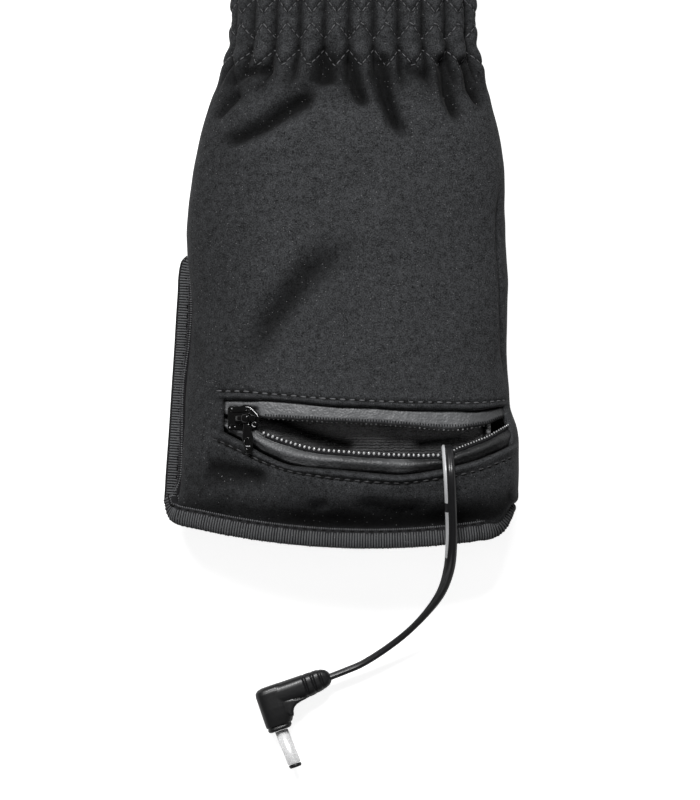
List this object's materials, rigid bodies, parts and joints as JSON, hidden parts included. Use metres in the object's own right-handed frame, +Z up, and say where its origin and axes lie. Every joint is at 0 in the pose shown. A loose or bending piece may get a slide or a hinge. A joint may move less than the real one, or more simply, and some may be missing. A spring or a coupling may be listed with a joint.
{
  "type": "heated glove",
  "caption": "Right-hand softshell glove with an elastic wrist and a flared gauntlet cuff, whose zipped battery pocket lets out a short power lead with a right-angle plug.",
  "frame": {"origin": "on the surface that the glove lies on, under the middle of its outline without the lead", "axes": "+Y from the hem to the fingertips, +X to the thumb side, +Z up through the palm, which faces up"},
  "size_m": [0.1346, 0.3905, 0.0363],
  "materials": {
    "softshell": "matte charcoal softshell with a fine heather",
    "binding": "ribbed grosgrain tape",
    "lining": "dark ribbed knit",
    "zip_tape": "grained polyurethane coat, semi-matte",
    "zip_coil": "glossy black coil",
    "black_metal": "gloss black",
    "rubber": "semi-matte moulded black",
    "chrome": "polished"
  },
  "bodies": {
    "glove": {"palm_panel": "softshell", "back_panel": "softshell", "thumb_front": "softshell", "thumb_back": "softshell", "index_front": "softshell", "index_back": "softshell", "middle_front": "softshell", "middle_back": "softshell", "ring_front": "softshell", "ring_back": "softshell", "little_front": "softshell", "little_back": "softshell", "wrist_elastic": "softshell", "cuff_front": "softshell", "cuff_back": "softshell", "hem_binding": "binding", "vent_binding_front": "binding", "vent_binding_back": "binding", "zip_tape_upper": "zip_tape", "zip_tape_lower": "zip_tape", "zip_coil_upper": "zip_coil", "zip_coil_lower": "zip_coil", "pocket_lining": "lining", "zip_slider": "black_metal", "power_lead": "rubber", "plug_body": "rubber", "plug_barrel": "chrome", "plug_tip": "rubber"},
    "puller": {"zip_puller": "black_metal"}
  },
  "joints": [
    {"name": "puller_swing", "type": "hinge", "parent": "glove", "child": "puller", "pos_m": [-0.04308, -0.1327, 0.03079], "axis": [-0.9456, 0, -0.3254], "range_deg": [0, 165]}
  ]
}
